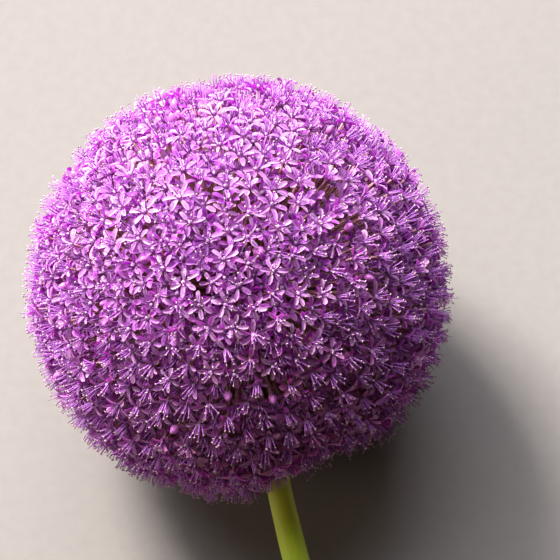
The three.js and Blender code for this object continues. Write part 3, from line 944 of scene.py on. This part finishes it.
def stem_material():
    """Allium stem: a smooth green skin under a thin wax bloom, streaked along its length."""
    material, tree, surface = new_material("waxy_stem_skin")
    down, inward = (
        add(tree, "ShaderNodeAttribute", {}, attribute_name=label).outputs["Fac"]
        for label in ("along", "inward"))
    place = add(tree, "ShaderNodeNewGeometry", {}).outputs["Position"]
    scales = (1 / SKIN_STREAK_WIDTH, 1 / SKIN_STREAK_LENGTH, 1 / SKIN_STREAK_WIDTH)
    stretched = add(tree, "ShaderNodeMapping", {"Vector": place, "Rotation": (slope, 0.0, 0.0),
                    "Scale": scales})
    streak = add(tree, "ShaderNodeTexNoise", {"Vector": stretched.outputs[0], "Scale": 1.0,
                 "Detail": 3.0}).outputs["Fac"]
    colour = add(tree, "ShaderNodeMix", {0: streak, MIX_FIRST: linear("#a0d00c"),
                 MIX_SECOND: linear("#c2ea34")}, data_type="RGBA").outputs[MIX_COLOUR]
    near_globe = add(tree, "ShaderNodeMapRange", {"Value": down, "From Min": 0.42,
                     "From Max": 0.9, "To Min": GLOBE_BROWN, "To Max": 0.0})
    near_foot = add(tree, "ShaderNodeMapRange", {"Value": down, "From Min": 0.55,
                    "From Max": 0.9, "To Max": FOOT_GREY})
    layers = ((near_globe.outputs[0], "#a88828"), (near_foot.outputs[0], "#6e8c40"),
              (inward, "#c3cc90"))
    for share, layer in layers:
        colour = add(tree, "ShaderNodeMix", {0: share, MIX_FIRST: colour,
                     MIX_SECOND: linear(layer)}, data_type="RGBA").outputs[MIX_COLOUR]
    relief = add(tree, "ShaderNodeBump", {"Height": streak, "Distance": SKIN_STREAK_RELIEF})
    front = add(tree, "ShaderNodeBsdfPrincipled", {"Base Color": colour, "Roughness": 0.48,
                "Specular IOR Level": 0.4, "Normal": relief.outputs[0]})
    tree.links.new(front.outputs[0], surface)
    return material


print("The skin's streaks are", round(SKIN_STREAK_LENGTH / SKIN_STREAK_WIDTH), "times as long as wide")

# %% [markdown]
# The stem is one tube like the rest. Its marks say how far down it a point is, and which points lie
# on the cut face: those at the full length whose radius is less than the foot's.

# %% Stem
FACE_START = 0.95  # of the foot's radius

at_foot = distances > STEM_LENGTH - 0.01 * MM
on_cut = at_foot & (radii < FACE_START * STEM_FOOT_RADIUS)
marks = {"along": (distances / STEM_LENGTH)[:, None], "inward": on_cut[:, None].astype(float)}
stem = tubes("stem", stem_grid(distances, radii), stem_material(), marks)
stands_for(stem, "scape")

# %% [markdown]
# The main light stands in for the sun of the photograph, which comes from above, from the left and
# a little from the camera's side. So it lights the florets near the picture's top from the side,
# and shines through the tepals at the globe's rim. A large soft light above the picture stands in
# for the sky, and a weak one from the camera's left keeps some detail in the shade.

# %% Lights
WORLD_STRENGTH = 0.07


def light(name, way, distance, width, strength, colour):
    """An area light that shines on the globe from a direction in the picture: right, up, back.
    Its strength is what it sends to the globe, in watts per square metre."""
    made = bpy.data.objects.new(name, bpy.data.lights.new(name, "AREA"))
    bpy.context.scene.collection.objects.link(made)
    toward = way[0] * picture_right + way[1] * picture_up + way[2] * picture_back
    toward = Vector(toward / np.linalg.norm(toward))
    made.location = Vector(MIDDLE) + toward * distance
    made.rotation_mode = "QUATERNION"
    made.rotation_quaternion = toward.to_track_quat("Z", "Y")
    made.data.size = width
    made.data.energy = strength * math.pi * distance**2
    made.data.color = linear(colour)[:3]
    made.visible_camera = False
    print(name, "stands", round(made.location.z, 2), "m above the floor")


# Each light: where it shines from, its distance and width in metres, its strength and its colour.
light("sun_light", (-0.5, 0.85, 0.42), 4.0, 1.3, 12.3, "#fffaf6")
light("sky_light", (-0.3, 1.0, 0.5), 4.0, 5.0, 9.4, "#f2f4ff")
light("fill_light", (-1.0, -0.2, 0.6), 1.6, 0.8, 0.7, "#ffecd4")

world = bpy.data.worlds.new("studio")
bpy.context.scene.world = world
world.use_nodes = True
world.node_tree.nodes["Background"].inputs["Color"].default_value = linear("#f0d8c0")
world.node_tree.nodes["Background"].inputs["Strength"].default_value = WORLD_STRENGTH

# %% [markdown]
# The floor is a matt painted board, so large that its edge is far off. One square is enough for it,
# because all its detail is in the paint. A painted board is never quite even: its grain and the
# roller's marks show as a faint mottle.

# %% Floor
FLOOR_HALF = 3.0
GRAIN_SIZE = 4 * MM


def board_material():
    """Board with matt pale paint, rolled on: broad even scatter and a faint mottle."""
    material, tree, surface = new_material("painted_board")
    place = add(tree, "ShaderNodeNewGeometry", {}).outputs["Position"]
    grain = add(tree, "ShaderNodeTexNoise", {"Vector": place, "Scale": 1 / GRAIN_SIZE,
                "Detail": 3.0}).outputs["Fac"]
    paint = add(tree, "ShaderNodeMix", {0: grain, MIX_FIRST: linear("#726e6a"),
                MIX_SECOND: linear("#7a7672")}, data_type="RGBA").outputs[MIX_COLOUR]
    front = add(tree, "ShaderNodeBsdfPrincipled", {"Base Color": paint, "Roughness": 0.9,
                "Specular IOR Level": 0.1})
    tree.links.new(front.outputs[0], surface)
    return material


mesh = bpy.data.meshes.new("floor")
corners = [(-1, -1, 0), (1, -1, 0), (1, 1, 0), (-1, 1, 0)]
mesh.from_pydata([[FLOOR_HALF * x for x in corner] for corner in corners], [], [(0, 1, 2, 3)])
floor = bpy.data.objects.new("floor", mesh)
bpy.context.scene.collection.objects.link(floor)
mesh.materials.append(board_material())
print("The floor is", 2 * FLOOR_HALF, "m wide")
